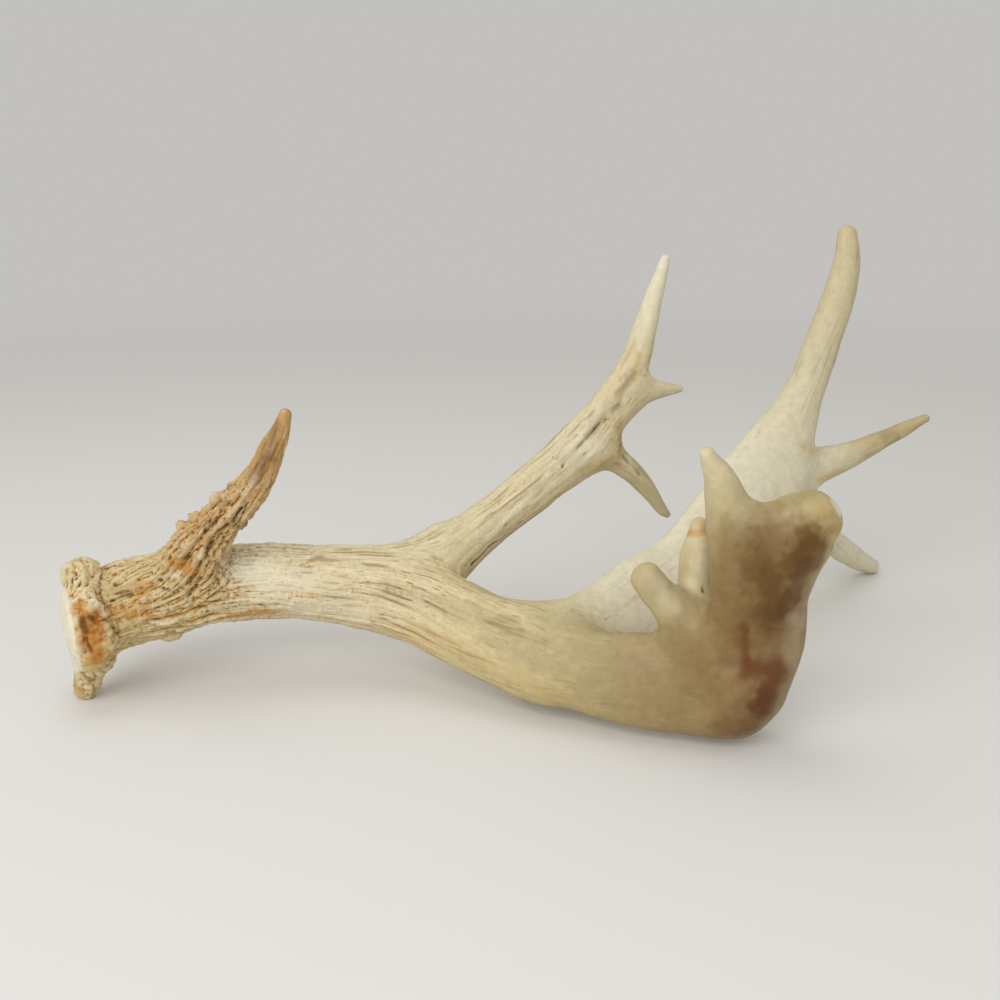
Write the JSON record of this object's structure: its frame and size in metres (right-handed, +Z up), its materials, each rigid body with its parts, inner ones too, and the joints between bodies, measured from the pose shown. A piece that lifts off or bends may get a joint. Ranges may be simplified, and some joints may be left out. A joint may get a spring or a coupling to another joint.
{
  "type": "deer antler",
  "caption": "Shed deer antler lying at rest: rough burr, curved beam, brow tine, forked second tine, and a flat palm with short points in front of a long rear branch.",
  "frame": {"origin": "middle of the antler's footprint, on the surface that it rests on", "axes": "+Z up from the surface; +X along the antler from the burr to the branched end; +Y from the palm towards the rear branch"},
  "size_m": [0.4492, 0.2504, 0.2115],
  "materials": {
    "burr_bone": "Rough cream bone with orange-brown staining between lumps and in long grooves, matt; pale chalky seal",
    "brow_tine_bone": "Warm brown, coarsely beaded at the base and smoother towards the tip, matt with a faint polish",
    "beam_bone": "Whitish cream bone with grey-brown streaks in fine long grooves and small pits, matt",
    "palm_bone": "Smooth tan to olive beige bone with reddish brown upright stains, soft satin",
    "blade_bone": "Smooth near-white bone with dark specks, turning beige brown on the tall tine, soft satin"
  },
  "bodies": {
    "root": {"burr_and_base": "burr_bone", "brow_tine": "brow_tine_bone", "middle_beam": "beam_bone", "second_tine": "beam_bone", "second_tine_side_point": "beam_bone", "second_tine_low_point": "beam_bone", "upper_beam": "beam_bone", "palm": "palm_bone", "palm_tall_point": "palm_bone", "palm_middle_point": "palm_bone", "palm_low_point": "palm_bone", "rear_blade": "blade_bone", "rear_tall_tine": "blade_bone", "rear_side_tine": "blade_bone", "rear_low_tine": "blade_bone"}
  },
  "joints": []
}
